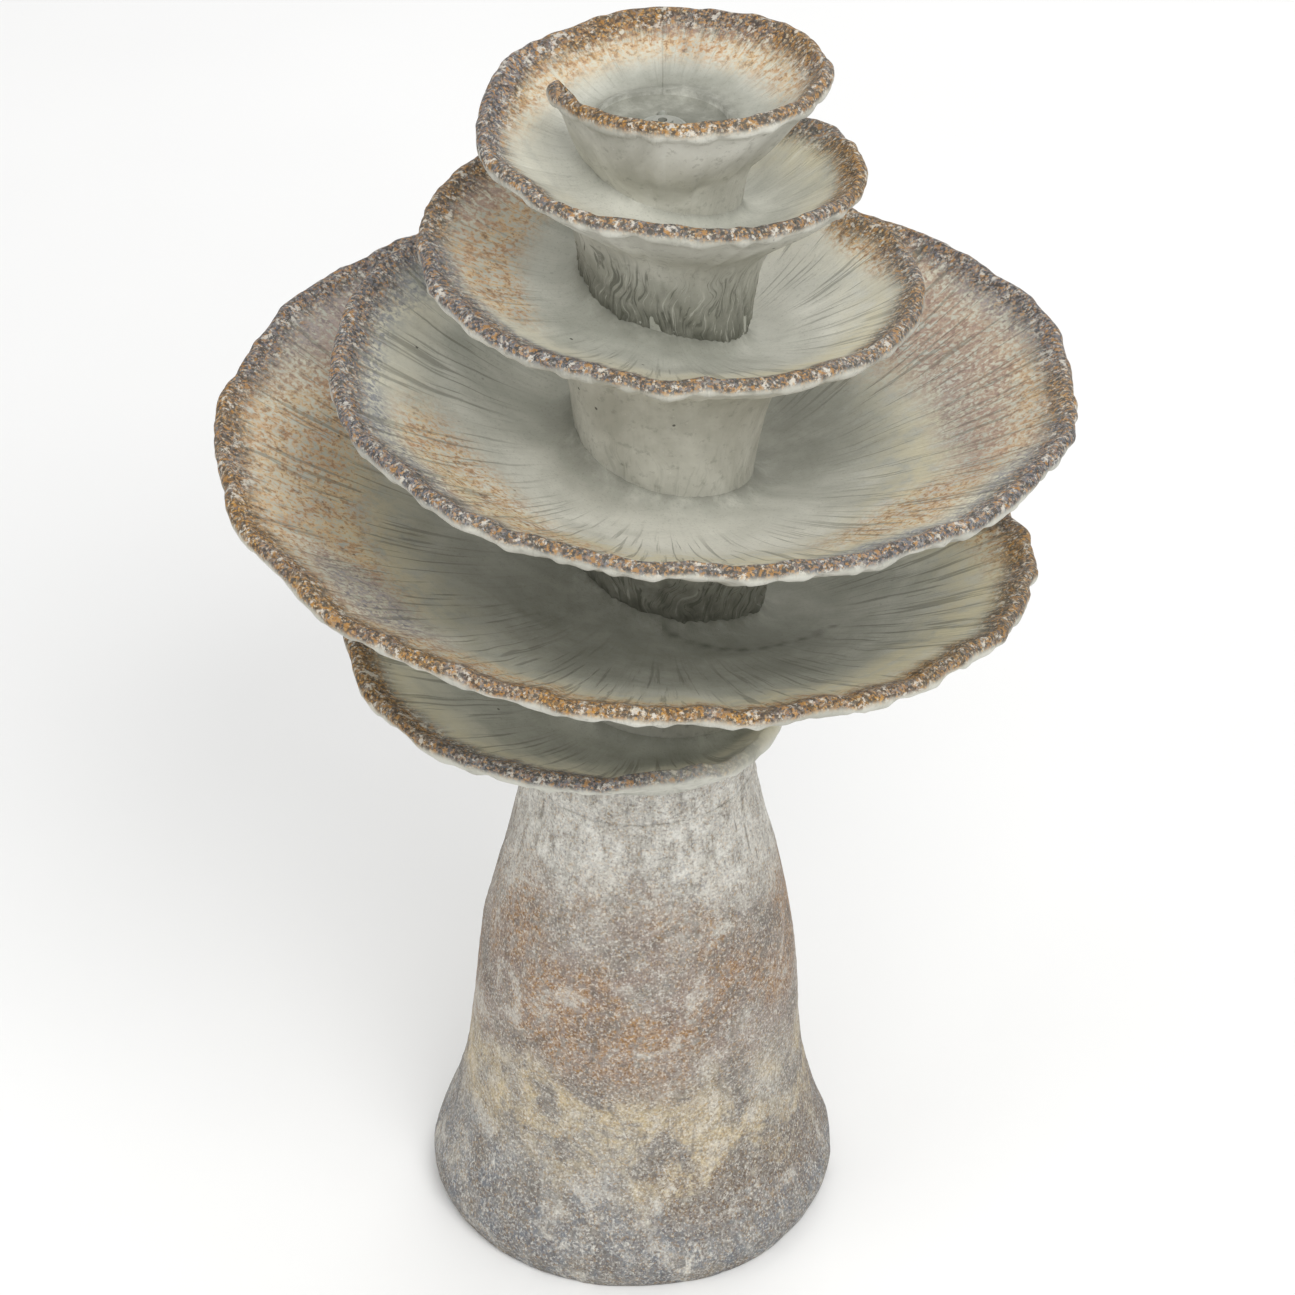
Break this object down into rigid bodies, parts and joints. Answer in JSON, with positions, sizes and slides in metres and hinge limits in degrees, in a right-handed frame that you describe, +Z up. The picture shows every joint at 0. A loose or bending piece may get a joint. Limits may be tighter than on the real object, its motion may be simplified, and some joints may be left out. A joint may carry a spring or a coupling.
{
  "type": "tiered water fountain",
  "caption": "Self-contained garden fountain: a spiral of hollow stone dishes winds down a flared pedestal that holds the reservoir and pump.",
  "frame": {"origin": "centre of the pedestal's flat underside, on the pedestal's axis", "axes": "+Z up, -Y to the front, +Y to the rear service panel; the spiral falls anticlockwise seen from above"},
  "size_m": [0.6648, 0.6698, 1.069],
  "materials": {
    "cast_stone": "matte, smooth grey-green dishes with rust, ochre and slate speckled rims",
    "cast_stone_foot": "matte, sandblasted, mottled grey, mauve and ochre",
    "black_rubber": "matte",
    "vinyl_hose": "satin, translucent grey",
    "white_pvc": "satin",
    "stainless": "brushed",
    "brass": "machined",
    "black_abs": "fine moulded grain",
    "grey_abs": "fine moulded grain",
    "lamination": "stacked sheet edges",
    "winding": "varnished copper wire",
    "ferrite": "ground",
    "acetal": "satin",
    "shaft_ceramic": "polished",
    "sealant": "satin grey bead"
  },
  "bodies": {
    "root": {"pedestal": "cast_stone_foot", "catch_tier": "cast_stone", "spiral_tier_5": "cast_stone", "spiral_tier_4": "cast_stone", "spiral_tier_3": "cast_stone", "spiral_tier_2": "cast_stone", "top_cup": "cast_stone", "panel_inserts": "brass", "cord_stopper": "black_rubber", "supply_hose": "vinyl_hose", "hose_clamps": "stainless", "riser_pipe": "white_pvc", "riser_grommets": "black_rubber", "outlet_fitting": "black_abs", "outlet_sealant": "sealant", "pump_housing": "black_abs", "motor_cap": "black_abs", "stator_core": "lamination", "stator_coil": "winding", "rotor_shaft": "shaft_ceramic", "shaft_bushings": "black_rubber", "volute_cover": "black_abs", "volute_ring": "black_rubber", "suction_feet": "black_rubber", "pump_gland": "black_rubber"},
    "rotor": {"rotor_magnet": "ferrite", "impeller": "acetal"},
    "strainer": {"intake_cover": "black_abs"},
    "dial": {"flow_dial": "grey_abs"},
    "panel": {"access_panel": "cast_stone_foot", "panel_gasket": "black_rubber", "panel_screws": "stainless"}
  },
  "joints": [
    {"name": "rotor_spin", "type": "hinge", "parent": "root", "child": "rotor", "pos_m": [0.024, 0, 0.069], "axis": [0, 1, 0], "continuous": true},
    {"name": "strainer_pull", "type": "slide", "parent": "root", "child": "strainer", "axis": [0, -1, 0], "range_m": [0, 0.045]},
    {"name": "flow_dial_turn", "type": "hinge", "parent": "strainer", "child": "dial", "pos_m": [0.024, -0.0325, 0.069], "axis": [0, 1, 0], "range_deg": [0, 45]},
    {"name": "panel_pull", "type": "slide", "parent": "root", "child": "panel", "axis": [0, 1, 0], "range_m": [0, 0.12]}
  ]
}
